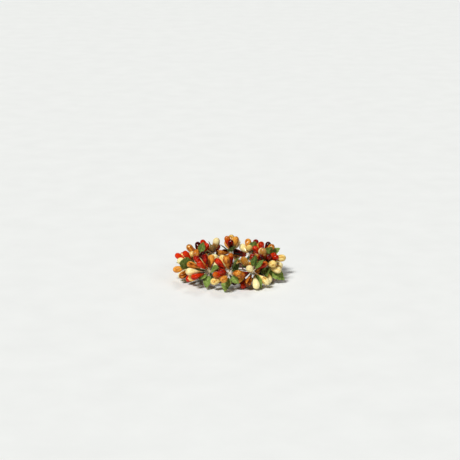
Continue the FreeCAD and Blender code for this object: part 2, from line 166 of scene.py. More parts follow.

# Places in mm from a berry's neck where the neck's darkening ends, partly a stain and partly
# painted shade near the tie, where the berry's end gets darker, and where a second tone begins,
# which the streaks shift
NECK_STAIN_AND_SHADE = (0.6, 3.4)
END_SHADE = (8.4, 9.6)
SECOND_TONE = (7.6, 9.4)
SECOND_TONE_SHIFT = 3.0

# How far apart the noises of two berries may start, and how streaks and cracks are stretched
PIP_SCATTER = (70.0, 70.0, 70.0)
STREAK_STRETCH = (1.6, 1.6, 0.22)
CRACK_STRETCH = (0.9, 0.9, 0.34)

# Where the three tones of the lacquer and of the leaves' cloth lie
LACQUER_STOPS = (0.38, 0.48, 0.60)
CLOTH_STOPS = (0.24, 0.50, 0.84)

# The cloth's weave: radians of its wave for each mm
WEAVE_WAVE = 24.0

# The Mix node's sockets for colours: the share, the two colours and the result
MIX_SHARE, MIX_FIRST, MIX_SECOND, MIX_RESULT = 0, 6, 7, 2

Pip = namedtuple("Pip", "neck aim length radius tie")
Leaf = namedtuple("Leaf", "foot aim face length half_width tie")
Rod = namedtuple("Rod", "foot head foot_radius head_radius")
Ring = namedtuple("Ring", "radius height sleeve_radius wrap_line_radius wrap_radius seat")


def a_colour(name, description, default):
    """A colour that a user can change."""
    return FloatVectorProperty(
        name=name, description=description, default=default, subtype="COLOR", size=3,
        min=0.0, max=1.0)


def a_length(name, description, default):
    """A length that a user can change."""
    return FloatProperty(
        name=name, description=description, default=default, unit="LENGTH", precision=5)


class PipSettings(PropertyGroup):
    """Sizes and colours of the lacquered berries."""

    sides: IntProperty(
        name="Sides", description="Sides of a berry before it is smoothed", default=12, min=6)
    dent: a_length("Dent", "How deep the flattened side of a berry is", 0.22 * MM)
    red_deep: a_colour("Deep red", "The shaded red", (0.022, 0.001, 0.001))
    red_middle: a_colour("Red", "The plain red", (0.28, 0.004, 0.001))
    red_bright: a_colour("Bright red", "The thin red", (0.66, 0.030, 0.003))
    # The neck colours here and below are partly a stain and partly painted shade, darker where the
    # berries crowd at their tie.
    red_neck: a_colour("Red neck", "The stain on red necks", (0.18, 0.019, 0.003))
    orange_deep: a_colour("Brown", "The shaded orange", (0.060, 0.008, 0.001))
    orange_middle: a_colour("Caramel", "The plain orange", (0.53, 0.146, 0.012))
    orange_bright: a_colour("Light caramel", "The thin orange", (0.85, 0.375, 0.054))
    orange_neck: a_colour("Orange neck", "The stain on orange necks", (0.28, 0.080, 0.008))
    cream_deep: a_colour("Tan", "The shaded cream", (0.44, 0.17, 0.020))
    cream_middle: a_colour("Cream", "The plain cream", (0.97, 0.69, 0.195))
    cream_bright: a_colour("Light cream", "The thin cream", (0.99, 0.87, 0.44))
    cream_neck: a_colour("Cream neck", "The stain on cream necks", (0.44, 0.17, 0.020))
    crack: a_colour("Crack", "Fine cracks in the cream lacquer", (0.27, 0.10, 0.020))


class LeafSettings(PropertyGroup):
    """Sizes and colours of the cloth leaves."""

    columns: IntProperty(name="Columns", description="Steps along a leaf", default=40, min=12)
    rows: IntProperty(
        name="Rows", description="Steps across a leaf, an even number", default=16, min=8)
    veins: IntProperty(
        name="Side veins", description="Veins on each side of a leaf", default=5, min=2)
    cloth: a_length("Cloth", "Thickness of the cloth", 0.14 * MM)
    fold: FloatProperty(
        name="Fold", description="How far each side folds up", default=0.244, subtype="ANGLE")
    groove: a_length("Groove", "Depth of the pressed veins", 0.16 * MM)
    green_deep: a_colour("Deep green", "The dark green of the cloth", (0.010, 0.026, 0.003))
    green_middle: a_colour("Green", "The green of the cloth", (0.145, 0.236, 0.033))
    green_bright: a_colour("Light green", "The yellowish green", (0.45, 0.53, 0.15))


class BindingSettings(PropertyGroup):
    """Sizes and colours of the ring's tapes and wire, the stems, the ties and the threads."""

    wrap_turns: IntProperty(
        name="Turns", description="Turns of rolled tape round the ring", default=24, min=1)
    wrap_open: FloatProperty(
        name="Open turns", description="Turns that the wrap stops short of the full circle",
        default=0.5)
    laps: IntProperty(
        name="Laps", description="Laps of tape round the ring's sleeve", default=80, min=1)
    lap_height: a_length("Lap height", "How far a lap of tape stands up", 0.07 * MM)
    thread_radius: a_length("Thread radius", "Half a thread's thickness", 0.20 * MM)
    tape_deep: a_colour("Deep brown", "The shaded brown of the tape", (0.016, 0.004, 0.004))
    tape_bright: a_colour("Brown", "The brown of the ring's tape", (0.150, 0.042, 0.032))
    stem_deep: a_colour("Deep stem green", "The shaded stems", (0.010, 0.022, 0.007))
    stem_bright: a_colour("Stem green", "The green of the stems", (0.060, 0.105, 0.030))
    # Both thread colours are darker than the pale thread itself, as painted shade inside the
    # bunches.
    thread_deep: a_colour("Waxed thread", "The shaded side of threads", (0.36, 0.26, 0.13))
    thread_bright: a_colour("Pale thread", "The pale side of threads", (0.82, 0.74, 0.54))
    wire_deep: a_colour("Deep steel", "The shaded wire", (0.34, 0.34, 0.35))
    wire_bright: a_colour("Steel", "The bright wire", (0.52, 0.52, 0.53))


class StageSettings(PropertyGroup):
    """The camera, the light and the floor."""

    distance: a_length("Distance", "Camera to target", 1.0)
    elevation: FloatProperty(
        name="Elevation", description="Camera above level", default=0.2618, subtype="ANGLE")
    target_height: a_length("Target height", "Height that the camera looks at", 0.0338)
    lens: FloatProperty(name="Lens", description="Focal length", default=118.0, unit="CAMERA")
    floor_size: a_length("Floor", "Width of the floor", 14.0)
    ambient: FloatProperty(
        name="Ambient", description="Strength of the light from all round", default=0.06)
    key: FloatProperty(name="Key light", description="Strength of the main light", default=3.24)
    side: FloatProperty(
        name="Side light", description="Strength of the light from the side", default=0.32)
    back: FloatProperty(
        name="Back light", description="Strength of the light from behind", default=0.5)
    paper: a_colour("Floor colour", "The pale floor", (0.86, 0.87, 0.85))
    air: a_colour("Air colour", "The pale light all round", (0.93, 0.95, 0.94))


# Finding the pieces in the frame

def middle(places):
    """The mean of some places."""
    return sum(places, Vector()) / len(places)


def solids_of(node):
    """The corners of each separate solid in a CAD node, in order of where the solids stand."""
    mesh = bmesh.new()
    mesh.from_mesh(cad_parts[node].data)
    bmesh.ops.remove_doubles(mesh, verts=mesh.verts, dist=WELD)
    found = set()
    solids = []
    for start in mesh.verts:
        if start in found:
            continue
        found.add(start)
        waiting = [start]
        corners = []
        while waiting:
            vert = waiting.pop()
            corners.append(vert.co.copy())
            for edge in vert.link_edges:
                other = edge.other_vert(vert)
                if other not in found:
                    found.add(other)
                    waiting.append(other)
        solids.append(corners)
    mesh.free()
    return sorted(
        solids, key=lambda corners: tuple(round(part / MM, 1) for part in middle(corners)))


TIE_SOLIDS = solids_of("bunch_ties")
TIES = [middle(corners) for corners in TIE_SOLIDS]
TIE_RADIUS = max((corner - TIES[0]).length for corner in TIE_SOLIDS[0])


def shares_along(corners, start, aim):
    """How far each corner lies along a line."""
    return [(corner - start).dot(aim) for corner in corners]


def off_line(place, start, aim):
    """How far a place lies from a line."""
    return (place - start - aim * (place - start).dot(aim)).length


def own_tie(foot, aim):
    """The tie behind a sprig's foot that the sprig points away from."""
    return min(TIES, key=lambda tie: off_line(tie, foot, aim) + max((tie - foot).dot(aim), 0))


def nearest_tie(place):
    """The tie nearest to a place."""
    return min(TIES, key=lambda tie: (tie - place).length)


def ends_of(corners, start, aim):
    """The middles of a solid's two ends along a line."""
    along = shares_along(corners, start, aim)
    low = min(along) + END_SLICE
    high = max(along) - END_SLICE
    foot = middle([corner for corner, share in zip(corners, along) if share < low])
    tip = middle([corner for corner, share in zip(corners, along) if share > high])
    return foot, tip


def pips_of(node):
    """The berries of a CAD node. A berry's neck is the end farther from its middle."""
    pips = []
    for corners in solids_of(node):
        centre = middle(corners)
        far = max(corners, key=lambda corner: (corner - centre).length)
        neck, tip = ends_of(corners, far, (centre - far).normalized())
        aim = (tip - neck).normalized()
        length = max(shares_along(corners, neck, aim))
        radius = max(off_line(corner, neck, aim) for corner in corners)
        pips.append(Pip(neck, aim, length, radius, own_tie(neck, aim)))
    return pips


def leaves_of(node):
    """The leaves of a CAD node. A leaf's foot is the end that lies in line with a tie."""
    leaves = []
    for corners in solids_of(node):
        first, second = max(product(corners, repeat=2), key=lambda pair: (pair[1] - pair[0]).length)
        tries = []
        for start, end in ((first, second), (second, first)):
            foot, tip = ends_of(corners, start, (end - start).normalized())
            aim = (tip - foot).normalized()
            tie = own_tie(foot, aim)
            tries.append((off_line(tie, foot, aim) + (tie - foot).length, foot, tip, aim, tie))
        _, foot, tip, aim, tie = min(tries, key=lambda entry: entry[0])
        off = middle(corners) - foot
        face = (off - aim * off.dot(aim)).normalized()
        across = face.cross(aim)
        half_width = max(abs((corner - foot).dot(across)) for corner in corners)
        leaves.append(Leaf(foot, aim, face, (tip - foot).length, half_width, tie))
    return leaves


def stems_of(node):
    """The bunch stems of a CAD node, each aimed at its tie."""
    rods = []
    for corners in solids_of(node):
        centre = middle(corners)
        aim = (nearest_tie(centre) - centre).normalized()
        along = shares_along(corners, centre, aim)
        low, high = min(along), max(along)
        aside = [off_line(corner, centre, aim) for corner in corners]
        foot_radius = max(off for off, share in zip(aside, along) if share < 0)
        head_radius = max(off for off, share in zip(aside, along) if share > high / 2)
        rods.append(Rod(centre + aim * low, centre + aim * high, foot_radius, head_radius))
    return rods


def own_numbers(rng, place, painted_shade_share):
    """A copy's random numbers. The first one, its tone, rises from the ring's wire outwards:
    painted shade makes copies nearer the wire darker.
    """
    outward = (math.hypot(place.x, place.y) - WIRE_OUTSIDE) / (CAD_BOX[1][0] - WIRE_OUTSIDE)
    outward = min(max(outward, 0), 1)
    tone_and_inner_shade = rng.random() * (1 - painted_shade_share) + outward * painted_shade_share
    return tone_and_inner_shade, rng.random(), rng.random()


def read_ring():
    """The sizes of the ring, from the boxes of its wire, sleeve and wrap."""
    wire_low, wire_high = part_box("core_wire")
    sleeve_low, sleeve_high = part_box("tape_sleeve")
    wrap_low, wrap_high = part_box("tape_wrap")
    wire_radius = (wire_high.z - wire_low.z) / 2
    sleeve_radius = (sleeve_high.z - sleeve_low.z) / 2
    height = (wire_high.z + wire_low.z) / 2
    wrapped_radius = wrap_high.z - height
    wrap_radius = (wrapped_radius - sleeve_radius) / 2
    return Ring(
        wire_high.x - wire_radius, height, sleeve_radius, wrapped_radius - wrap_radius,
        wrap_radius, wrap_low.z)


# Modelling

def start_fresh():
    """Leave edit mode and select nothing."""
    if bpy.context.object and bpy.context.object.mode != "OBJECT":
        bpy.ops.object.mode_set(mode="OBJECT")
    bpy.ops.object.select_all(action="DESELECT")


def take(piece):
    """Select only this piece and make it the active one."""
    start_fresh()
    piece.select_set(True)
    bpy.context.view_layer.objects.active = piece


@contextmanager
def editing(piece):
    """Edit mode on a piece's corners, and object mode again after it."""
    take(piece)
    bpy.ops.object.mode_set(mode="EDIT")
    bpy.context.tool_settings.mesh_select_mode = (True, False, False)
    yield
    bpy.ops.object.mode_set(mode="OBJECT")


def pick(piece, test):
    """In edit mode, select the corners whose place passes a test."""
    mesh = bmesh.from_edit_mesh(piece.data)
    for vert in mesh.verts:
        vert.select = bool(test(vert.co))
    mesh.select_flush(True)
    mesh.select_flush(False)
    bmesh.update_edit_mesh(piece.data)
    return any(vert.select for vert in mesh.verts)


def push(piece, test, value, spread):
    """In edit mode, move the corners that pass a test, and those round them less and less."""
    if pick(piece, test):
        bpy.ops.transform.translate(
            value=value, use_proportional_edit=True, proportional_size=spread,
            proportional_edit_falloff="SMOOTH")


def weld_all():
    """In edit mode, merge the corners that lie together and turn all faces outwards."""
    bpy.ops.mesh.select_all(action="SELECT")
    bpy.ops.mesh.remove_doubles(threshold=WELD)
    bpy.ops.mesh.normals_make_consistent(inside=False)


def apply_modifier(piece, kind, **settings):
    """Add a modifier to a piece and apply it."""
    take(piece)
    modifier = piece.modifiers.new(kind.lower(), kind)
    for name, value in settings.items():
        setattr(modifier, name, value)
    bpy.ops.object.modifier_apply(modifier=modifier.name)


def smooth(piece, levels):
    """Subdivide a piece's surface and round its shading."""
    if levels:
        apply_modifier(piece, "SUBSURF", levels=levels, render_levels=levels)
    take(piece)
    bpy.ops.object.shade_smooth_by_angle(angle=SHARP_EDGE)


def grow(stations, sides, twist=0.0, lap=0.0):
    """A closed round shape grown ring by ring along Z through (height, radius) stations.

    A lap raises one side of the first ring, and the twist turns each ring, so that the lap winds
    up the shape.
    """
    start_fresh()
    height, radius = stations[0]
    bpy.ops.mesh.primitive_circle_add(vertices=sides, radius=radius, fill_type="NGON")
    piece = bpy.context.object
    with editing(piece):
        bpy.ops.transform.translate(value=(0, 0, height))
        if lap and pick(piece, lambda place: place.x > abs(place.y)):
            bpy.ops.transform.resize(
                value=(1 + lap, 1 + lap, 1), center_override=(0, 0, height))
        bpy.ops.mesh.select_all(action="SELECT")
        for next_height, next_radius in stations[1:]:
            bpy.ops.mesh.extrude_region_move(
                TRANSFORM_OT_translate={"value": (0, 0, next_height - height)})
            centre = (0, 0, next_height)
            if next_radius:
                size = next_radius / radius
                bpy.ops.transform.resize(value=(size, size, 1), center_override=centre)
                if twist:
                    bpy.ops.transform.rotate(
                        value=twist, orient_axis="Z", center_override=centre)
                radius = next_radius
            else:
                bpy.ops.mesh.merge(type="CENTER")
            height = next_height
        weld_all()
    return piece


def write_attribute(mesh, name, values):
    """Give a mesh's corners a vector attribute."""
    attribute = mesh.attributes.new(name=name, type="FLOAT_VECTOR", domain="POINT")
    attribute.data.foreach_set("vector", [part for value in values for part in value])


def remember_place(piece, name, sizes):
    """Keep each corner's place in the piece's own frame, as shares of these sizes."""
    write_attribute(piece.data, name, [
        tuple(place / size for place, size in zip(vert.co, sizes)) for vert in piece.data.vertices])


def standing(origin, aim):
    """The matrix that stands a shape at an origin, with its Z axis along an aim."""
    y_axis = aim.cross(Vector((aim.y, aim.z, -aim.x))).normalized()
    x_axis = y_axis.cross(aim).normalized()
    turned = Matrix((x_axis, y_axis, aim)).transposed().to_4x4()
    return Matrix.Translation(origin) @ turned


def set_copy(master, matrix, chance=None):
    """A copy of a master with its place in its own mesh, and its own random numbers, whose first
    part can carry painted shade.
    """
    piece = master.copy()
    piece.data = master.data.copy()
    bpy.context.collection.objects.link(piece)
    piece.data.transform(matrix)
    if chance is not None:
        write_attribute(piece.data, "chance", [chance] * len(piece.data.vertices))
    return piece


def dress(pieces, name, material, slot, *nodes):
    """Join pieces into one with a name and a material, and set it in place of CAD nodes."""
    take(pieces[0])
    if len(pieces) > 1:
        for other in pieces:
            other.select_set(True)
        bpy.ops.object.join()
    piece = bpy.context.object
    piece.name = name
    piece.data.name = name
    piece.data.materials.clear()
    piece.data.materials.append(material)
    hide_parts(*nodes)
    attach(piece, BODY)


def remove_pieces(pieces):
    """Delete pieces that only helped, such as masters that were copied."""
    for piece in pieces:
        bpy.data.objects.remove(piece)


def between_rows(rows, share):
    """The second value of some rows at a share, in straight steps from row to row."""
    for (low, low_value), (high, high_value) in zip(rows, rows[1:]):
        if share <= high:
            return low_value + (high_value - low_value) * (share - low) / (high - low)
    return rows[-1][1]


# Materials

def arithmetic(operation, turned=False):
    """A method that adds a Math node to the two it is given, the other way round if turned."""
    def method(self, other):
        return self.finish.maths(operation, *((other, self) if turned else (self, other)))
    return method


class Socket:
    """An output of a material's node. Arithmetic with it adds Math nodes."""

    def __init__(self, finish, socket):
        self.finish = finish
        self.socket = socket

    def __abs__(self):
        return self.finish.maths("ABSOLUTE", self)

    __add__ = arithmetic("ADD")
    __sub__ = arithmetic("SUBTRACT")
    __mul__ = arithmetic("MULTIPLY")
    __radd__ = arithmetic("ADD", turned=True)
    __rsub__ = arithmetic("SUBTRACT", turned=True)
    __rmul__ = arithmetic("MULTIPLY", turned=True)


class Finish:
    """A material laid out round one Principled shader."""

    def __init__(self, name, settings):
        self.material = bpy.data.materials.new(name)
        self.material.use_nodes = True
        self.tree = self.material.node_tree
        self.shader = self.tree.nodes["Principled BSDF"]
        for socket, value in settings.items():
            self.shader.inputs[socket].default_value = value

    def add(self, kind, inputs, output=0, stops=(), **settings):
        """Add a node, set it up and then feed it, and give its output."""
        node = self.tree.nodes.new("ShaderNode" + kind)
        for name, value in settings.items():
            setattr(node, name, value)
        if stops:
            elements = node.color_ramp.elements
            while len(elements) < len(stops):
                elements.new(1.0)
            for element, (place, colour) in zip(elements, stops):
                element.position = place
                element.color = (*colour, 1.0)
        for name, value in inputs.items():
            self.feed(node.inputs[name], value)
        return Socket(self, node.outputs[output])

    def feed(self, entry, value):
        """Link a socket to an input, or set a plain value there."""
        if isinstance(value, Socket):
            self.tree.links.new(value.socket, entry)
        elif isinstance(value, (int, float)):
            entry.default_value = value
        else:
            value = tuple(value)
            size = len(entry.default_value)
            entry.default_value = value[:size] + (1.0,) * (size - len(value))

    def maths(self, operation, *values, kind="Math"):
        """A Math or a VectorMath node."""
        return self.add(kind, dict(enumerate(values)), operation=operation)

    def attribute(self, name):
        """A vector attribute of the piece."""
        return self.add("Attribute", {}, "Vector", attribute_name=name)

    def parts(self, vector):
        """The three parts of a vector."""
        first = self.add("SeparateXYZ", {"Vector": vector})
        return [Socket(self, output) for output in first.socket.node.outputs]

    def object_place(self):
        """The place on the piece in metres."""
        return self.add("TexCoord", {}, "Object")

    def noise(self, place, scale, detail=2.0, roughness=0.5):
        """Noise from 0 to 1."""
        inputs = {"Vector": place, "Scale": scale, "Detail": detail, "Roughness": roughness}
        return self.add("TexNoise", inputs)

    def cells(self, place, scale):
        """Distance to the edge of the nearest cell."""
        inputs = {"Vector": place, "Scale": scale}
        return self.add("TexVoronoi", inputs, "Distance", feature="DISTANCE_TO_EDGE")

    def step(self, value, low, high):
        """A soft step from 0 at low to 1 at high."""
        inputs = {"Value": value, "From Min": low, "From Max": high}
        return self.add("MapRange", inputs, interpolation_type="SMOOTHSTEP")

    def between(self, share, low, high):
        """A value from low at share 0 to high at share 1."""
        return share * (high - low) + low

    def weigh(self, *pairs, less=0.0):
        """The sum of some values, each times its weight, less a number."""
        return sum((value * weight for value, weight in pairs), -less)

    def ramp(self, value, places, colours):
        """A colour between some colours that lie at these places."""
        return self.add("ValToRGB", {"Fac": value}, stops=tuple(zip(places, colours)))

    def mix(self, share, first, second, strength=1.0):
        """A colour between two, the second by a share times a strength."""
        inputs = {MIX_SHARE: share * strength, MIX_FIRST: first, MIX_SECOND: second}
        return self.add("Mix", inputs, MIX_RESULT, data_type="RGBA")

    def bump(self, height, distance, strength=1.0):
        """A bumped normal for the shader."""
        normal = self.add("Bump", {"Height": height, "Distance": distance, "Strength": strength})
        self.feed(self.shader.inputs["Normal"], normal)

    def colour(self, colour):
        """The shader's colour."""
        self.feed(self.shader.inputs["Base Color"], colour)

    def roughness(self, share, low, high):
        """The shader's roughness, from low at share 0 to high at share 1."""
        self.feed(self.shader.inputs["Roughness"], self.between(share, low, high))


def lacquer(colour, end, streak_share, patch_share, cracked=False):
    """A glossy lacquer over dyed paste, streaked in three tones.

    Its neck is darkened, partly a stain and partly painted shade where the berries crowd at their
    tie, and some berries end in a second tone.
    """
    tones = bpy.context.scene.wreath_pips
    deep, medium, bright, neck = (
        getattr(tones, colour + part) for part in ("_deep", "_middle", "_bright", "_neck"))
    finish = Finish(colour + "_lacquer", {
        "Coat Weight": 0.7, "Coat Roughness": 0.04, "Coat IOR": 1.4, "Specular IOR Level": 0.0})
    place = finish.attribute("pip_mm")
    chance = finish.attribute("chance")
    _, _, along = finish.parts(place)
    tone_and_inner_shade, blush, age = finish.parts(chance)
    own = finish.maths("MULTIPLY_ADD", chance, PIP_SCATTER, place, kind="VectorMath")
    long = finish.maths("MULTIPLY", own, STREAK_STRETCH, kind="VectorMath")
    streaks = finish.noise(long, scale=0.74, detail=4.0)
    patches = finish.noise(own, scale=0.36)
    grain = finish.noise(own, scale=7.0, roughness=0.6)
    # The tone is partly painted shade: berries nearer the ring's wire are darker.
    lift = finish.weigh(
        (streaks, streak_share), (patches, patch_share), (tone_and_inner_shade, 0.46), (grain, 0.05), less=0.14)
    shade = finish.ramp(lift, LACQUER_STOPS, (deep, medium, bright))
    # Stain and painted shade: the neck darkens towards its neck colour where the berries crowd at
    # the tie.
    neck_stain_and_shade = (1 - finish.step(along, *NECK_STAIN_AND_SHADE)) * finish.between(blush, low=0.35, high=0.95)
    shade = finish.mix(neck_stain_and_shade, shade, neck)
    darkened = finish.step(along, *END_SHADE) * finish.between(blush, low=0.05, high=0.40)
    shade = finish.mix(darkened, shade, deep)
    two_toned = finish.step(along + streaks * SECOND_TONE_SHIFT, *SECOND_TONE)
    two_toned = two_toned * finish.step(age, low=0.66, high=0.8)
    shade = finish.mix(two_toned, shade, getattr(tones, end), strength=0.8)
    height = finish.weigh((streaks, 0.7), (grain, 0.12))
    if cracked:
        long = finish.maths("MULTIPLY", own, CRACK_STRETCH, kind="VectorMath")
        lines = finish.cells(long, scale=1.1)
        broken = finish.step(finish.noise(own, scale=0.8), low=0.42, high=0.62)
        crack = (1 - finish.step(lines, low=0.0, high=0.045)) * broken
        shade = finish.mix(crack, shade, tones.crack, strength=0.75)
        height = finish.weigh((height, 1.0), (crack, -0.6))
    finish.colour(shade)
    finish.roughness(grain, low=0.24, high=0.40)
    finish.bump(height, distance=0.22 * MM, strength=0.55)
    return finish.material


def leaf_cloth(settings):
    """Starched satin cloth, with pressed veins and a fine weave."""
    finish = Finish("leaf_cloth", {
        "Sheen Weight": 0.08, "Sheen Roughness": 0.4, "Specular IOR Level": 0.2})
    along, aside, _ = finish.parts(finish.attribute("leaf_share"))
    place = finish.attribute("leaf_mm")
    tone_and_inner_shade, worn, _ = finish.parts(finish.attribute("chance"))
    warp, weft, _ = finish.parts(place)
    off = abs(aside)
    rank = (along - off * VEIN_SLANT) * (settings.veins + 1.0)
    from_vein = abs(finish.maths("FRACT", rank) - 0.5)
    side_vein = finish.step(from_vein, low=0.40, high=0.49) * finish.step(off, low=0.0, high=0.05)
    midrib = 1 - finish.step(off, low=0.02, high=0.07)
    vein = finish.maths("MAXIMUM", finish.between(side_vein, low=0.0, high=0.8), midrib)
    weave = finish.maths("SINE", warp * WEAVE_WAVE) * finish.maths("SINE", weft * WEAVE_WAVE)
    mottle = finish.noise(place, scale=0.70, detail=5.0, roughness=0.68)
    # The tone is partly painted shade: leaves nearer the ring's wire are darker.
    lift = finish.weigh((mottle, 1.0), (tone_and_inner_shade, 0.45), (weave, 0.03), less=0.20)
    greens = (settings.green_deep, settings.green_middle, settings.green_bright)
    colour = finish.ramp(lift, CLOTH_STOPS, greens)
    colour = finish.mix(vein, colour, settings.green_bright, strength=0.42)
    edge = finish.step(off, low=0.72, high=1.02) * finish.between(worn, low=0.15, high=0.55)
    colour = finish.mix(edge, colour, settings.green_bright)
    finish.colour(colour)
    finish.roughness(mottle, low=0.50, high=0.70)
    height = finish.weigh((weave, 0.25), (vein, -0.8), (mottle, 0.4))
    finish.bump(height, distance=0.12 * MM, strength=0.7)
    return finish.material


def tape(name, deep, bright, scale):
    """Stretched paper tape: fine crinkles with painted shade in their folds, and a little waxed."""
    finish = Finish(name, {"Specular IOR Level": 0.4})
    place = finish.object_place()
    crinkle = finish.noise(place, scale, detail=5.0, roughness=0.7)
    broad = finish.noise(place, scale / 5)
    # Painted shade: the colour darkens where the crinkle noise sinks the bump, mixed with a broad
    # mottle.
    fold_shade_and_mottle = finish.weigh((crinkle, 0.6), (broad, 0.4))
    finish.colour(finish.ramp(fold_shade_and_mottle, (0.36, 0.64), (deep, bright)))
    finish.roughness(crinkle, low=0.34, high=0.64)
    finish.bump(crinkle, distance=0.25 * MM)
    return finish.material


def waxed_thread(settings):
    """Pale waxed thread with a twist, its colours darkened as painted shade inside the bunches and
    in its fibre grooves.
    """
    finish = Finish("waxed_thread", {"Specular IOR Level": 0.5})
    place = finish.object_place()
    fibre = finish.noise(place, scale=4200.0, detail=3.0, roughness=0.6)
    broad = finish.noise(place, scale=500.0)
    # Painted shade: the colour follows the fibre noise that also bumps the thread, darker where it
    # sinks.
    lift = finish.weigh((fibre, 0.5), (broad, 0.5))
    finish.colour(finish.ramp(lift, (0.36, 0.60), (settings.thread_deep, settings.thread_bright)))
    finish.roughness(fibre, low=0.40, high=0.70)
    finish.bump(fibre, distance=0.06 * MM, strength=0.6)
    return finish.material


def drawn_wire(settings):
    """Bright drawn steel with fine lines."""
    finish = Finish("drawn_wire", {"Metallic": 1.0})
    lines = finish.noise(finish.object_place(), scale=3000.0, detail=3.0, roughness=0.6)
    finish.colour(finish.ramp(lines, (0.3, 0.7), (settings.wire_deep, settings.wire_bright)))
    finish.roughness(lines, low=0.28, high=0.48)
    finish.bump(lines, distance=0.01 * MM, strength=0.5)
    return finish.material


def floor_paper(settings):
    """A plain pale floor, hardly mottled."""
    finish = Finish("floor_paper", {"Specular IOR Level": 0.2})
    mottle = finish.noise(finish.object_place(), scale=40.0, detail=3.0)
    shade = [part * 0.97 for part in settings.paper]
    finish.colour(finish.ramp(mottle, (0.3, 0.7), (shade, settings.paper)))
    finish.roughness(mottle, low=0.8, high=0.9)
    return finish.material


# The pieces

def pip_master(settings, length, radius, dent):
    """One berry on the Z axis, its neck at the origin and a dent in its side."""
    widest = length - radius
    stations = [(widest * along, radius * share) for along, share in PIP_OUTLINE]
    for degrees in PIP_CROWN_DEGREES:
        angle = math.radians(degrees)
        stations.append((widest + radius * math.sin(angle), radius * math.cos(angle)))
    stations.append((length, 0))
    pip = grow(stations, settings.sides)
    side = TURN * dent.round
    outwards = Vector((math.cos(side), math.sin(side), 0))
    spot = outwards * radius + Vector((0, 0, widest * dent.along))
    with editing(pip):
        push(pip, lambda place: (place - spot).length < radius * DENT_PICKED,
             value=outwards * -settings.dent * dent.depth, spread=radius * DENT_SPREAD)
    smooth(pip, levels=1)
    remember_place(pip, "pip_mm", (MM, MM, MM))
    return pip


def make_pips(colour, material):
    """The berries of one colour, one piece for each bunch."""
    settings = bpy.context.scene.wreath_pips
    sample = pips_of(BUNCHES[0] + "_" + colour + "_berries")[0]
    masters = [pip_master(settings, sample.length, sample.radius, dent) for dent in PIP_DENTS]
    rng = random.Random(colour)
    for bunch in BUNCHES:
        node = bunch + "_" + colour + "_berries"
        copies = []
        for pip in pips_of(node):
            turn = Matrix.Rotation(rng.uniform(0, TURN), 4, "Z")
            measured = pip.neck + pip.aim * pip.length * PIP_MEASURED
            chance = own_numbers(rng, measured, PIP_PAINTED_SHADE)
            matrix = standing(pip.neck, pip.aim) @ turn
            copies.append(set_copy(rng.choice(masters), matrix, chance))
        dress(copies, node + "_lacquered", material, colour + "_lacquer", node)
    remove_pieces(masters)


def leaf_master(settings, length, half_width, bow):
    """One leaf from its foot at the origin along +X, its veins pressed, then folded and bowed."""
    start_fresh()
    bpy.ops.mesh.primitive_grid_add(
        x_subdivisions=settings.columns, y_subdivisions=settings.rows, size=2.0)
    leaf = bpy.context.object
    leaf.scale = (length / 2, half_width, 1)
    leaf.location = (length / 2, 0, 0)
    bpy.ops.object.transform_apply(location=True, rotation=True, scale=True)
    step = length / settings.columns
    columns = [column * step for column in range(settings.columns + 1)]

    def pick_column(along):
        pick(leaf, lambda place: abs(place.x - along) < step / 4)

    def rank(place):
        slanted = place.x / length - abs(place.y) / half_width * VEIN_SLANT
        return slanted * (settings.veins + 1) % 1

    def on_vein(place):
        return abs(place.y) < half_width * MIDRIB_WIDTH or rank(place) < VEIN_WIDTH

    def between_veins(place):
        beside = abs(place.y) > half_width * MIDRIB_STRIP
        return beside and abs(rank(place) - SWELL_MIDDLE) < SWELL_REACH

    with editing(leaf):
        for along in columns:
            share = max(between_rows(LEAF_EDGE, along / length), LEAF_TIP_WIDTH)
            pick_column(along)
            bpy.ops.transform.resize(value=(1, share, 1), center_override=(along, 0, 0))
        if pick(leaf, on_vein):
            bpy.ops.transform.translate(value=(0, 0, -settings.groove * VEIN_SINKS))
        if pick(leaf, between_veins):
            bpy.ops.transform.translate(value=(0, 0, settings.groove * CLOTH_SWELLS))
    remember_place(leaf, "leaf_mm", (MM, MM, MM))
    remember_place(leaf, "leaf_share", (length, half_width, 1))
    with editing(leaf):
        for side in (1, -1):
            pick(leaf, lambda place: place.y * side > half_width / 1000)
            bpy.ops.transform.rotate(
                value=-settings.fold * side, orient_axis="X", center_override=(0, 0, 0))
        for along in columns:
            pick_column(along)
            rise = 2 * bow * along * (1 - along / length)
            bpy.ops.transform.translate(value=(0, 0, rise))
    apply_modifier(leaf, "SOLIDIFY", thickness=settings.cloth, offset=0.0)
    smooth(leaf, levels=1)
    return leaf


def make_leaves():
    """The cloth leaves, one piece for each bunch."""
    settings = bpy.context.scene.wreath_leaves
    material = leaf_cloth(settings)
    rng = random.Random("leaves")
    sample = leaves_of(BUNCHES[0] + "_leaves")[0]
    masters = [leaf_master(settings, sample.length, sample.half_width, bow) for bow in LEAF_BOWS]
    for bunch in BUNCHES:
        node = bunch + "_leaves"
        copies = []
        for leaf in leaves_of(node):
            side = leaf.face.cross(leaf.aim)
            turned = Matrix((leaf.aim, side, leaf.face)).transposed().to_4x4()
            size = Matrix.Scale(leaf.length / sample.length, 4)
            measured = leaf.foot + leaf.aim * leaf.length * LEAF_MEASURED
            chance = own_numbers(rng, measured, LEAF_PAINTED_SHADE)
            matrix = Matrix.Translation(leaf.foot) @ turned @ size
            copies.append(set_copy(rng.choice(masters), matrix, chance))
        dress(copies, node + "_cloth", material, "leaf_cloth", node)
    remove_pieces(masters)


def thread_master(settings, bow):
    """A thread along +Z, one unit long, that bows a little and widens into the berry's neck."""
    stations = [(height, settings.thread_radius * share) for height, share in THREAD_OUTLINE]
    thread = grow(stations, sides=6)
    with editing(thread):
        push(thread, lambda place: abs(place.z - THREAD_MIDDLE) < THREAD_PICKED,
             value=(bow, 0, 0), spread=THREAD_SPREAD)
    smooth(thread, levels=0)
    return thread


